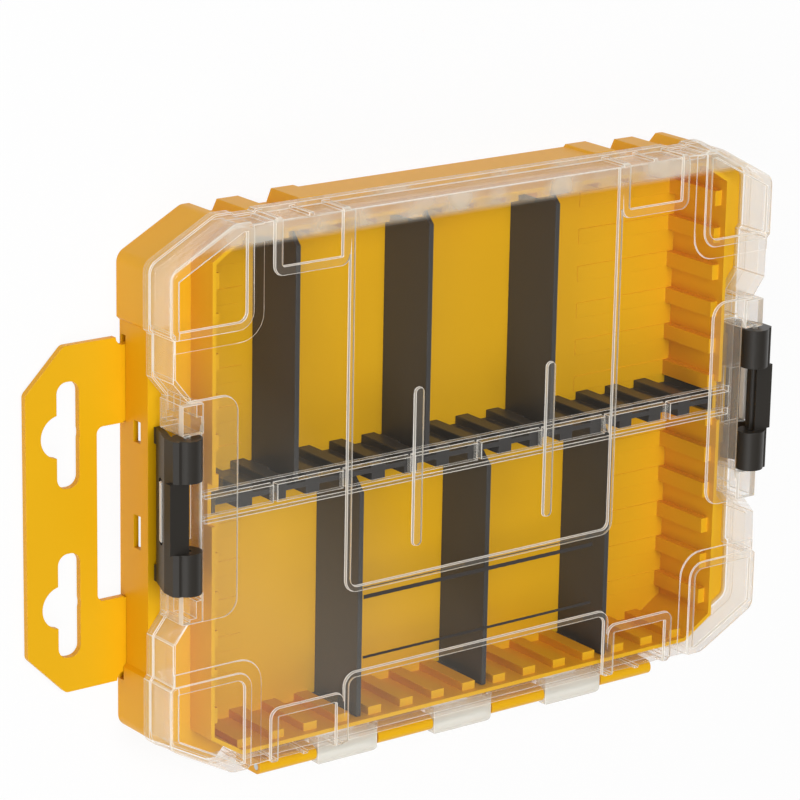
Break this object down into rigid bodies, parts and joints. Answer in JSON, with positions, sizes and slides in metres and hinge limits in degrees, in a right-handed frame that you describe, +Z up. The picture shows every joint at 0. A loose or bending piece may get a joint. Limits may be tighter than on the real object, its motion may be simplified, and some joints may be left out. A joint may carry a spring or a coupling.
{
  "type": "tool box",
  "caption": "Flat organiser case: clear hinged lid, coloured toothed tray with dividers, side latches that pivot on the lid, and a flat hang tag at one end.",
  "frame": {"origin": "middle of the underside of the case body, without the hang tag", "axes": "+X along the length away from the hang tag, +Y away from the hinge, +Z up out of the lid"},
  "size_m": [0.2449, 0.1657, 0.0317],
  "materials": {
    "yellow_plastic": "satin moulded",
    "clear_plastic": "clear, polished",
    "black_plastic": "satin moulded",
    "pin_steel": "drawn wire"
  },
  "bodies": {
    "base": {"base_tray": "yellow_plastic", "hang_tag": "yellow_plastic", "hinge_pin": "pin_steel", "centre_divider": "black_plastic", "divider_upper_1": "black_plastic", "divider_upper_2": "black_plastic", "divider_upper_3": "black_plastic", "divider_lower_1": "black_plastic", "divider_lower_2": "black_plastic", "divider_lower_3": "black_plastic"},
    "lid": {"lid": "clear_plastic"},
    "latch_left": {"latch_left": "black_plastic"},
    "latch_right": {"latch_right": "black_plastic"}
  },
  "joints": [
    {"name": "lid_hinge", "type": "hinge", "parent": "base", "child": "lid", "pos_m": [0, -0.0826, 0.018], "axis": [1, 0, 0], "range_deg": [0, 180]},
    {"name": "latch_left_pivot", "type": "hinge", "parent": "lid", "child": "latch_left", "pos_m": [-0.1016, 0, 0.0275], "axis": [0, 1, 0], "range_deg": [0, 110]},
    {"name": "latch_right_pivot", "type": "hinge", "parent": "lid", "child": "latch_right", "pos_m": [0.1016, 0, 0.0275], "axis": [0, -1, 0], "range_deg": [0, 110]}
  ]
}
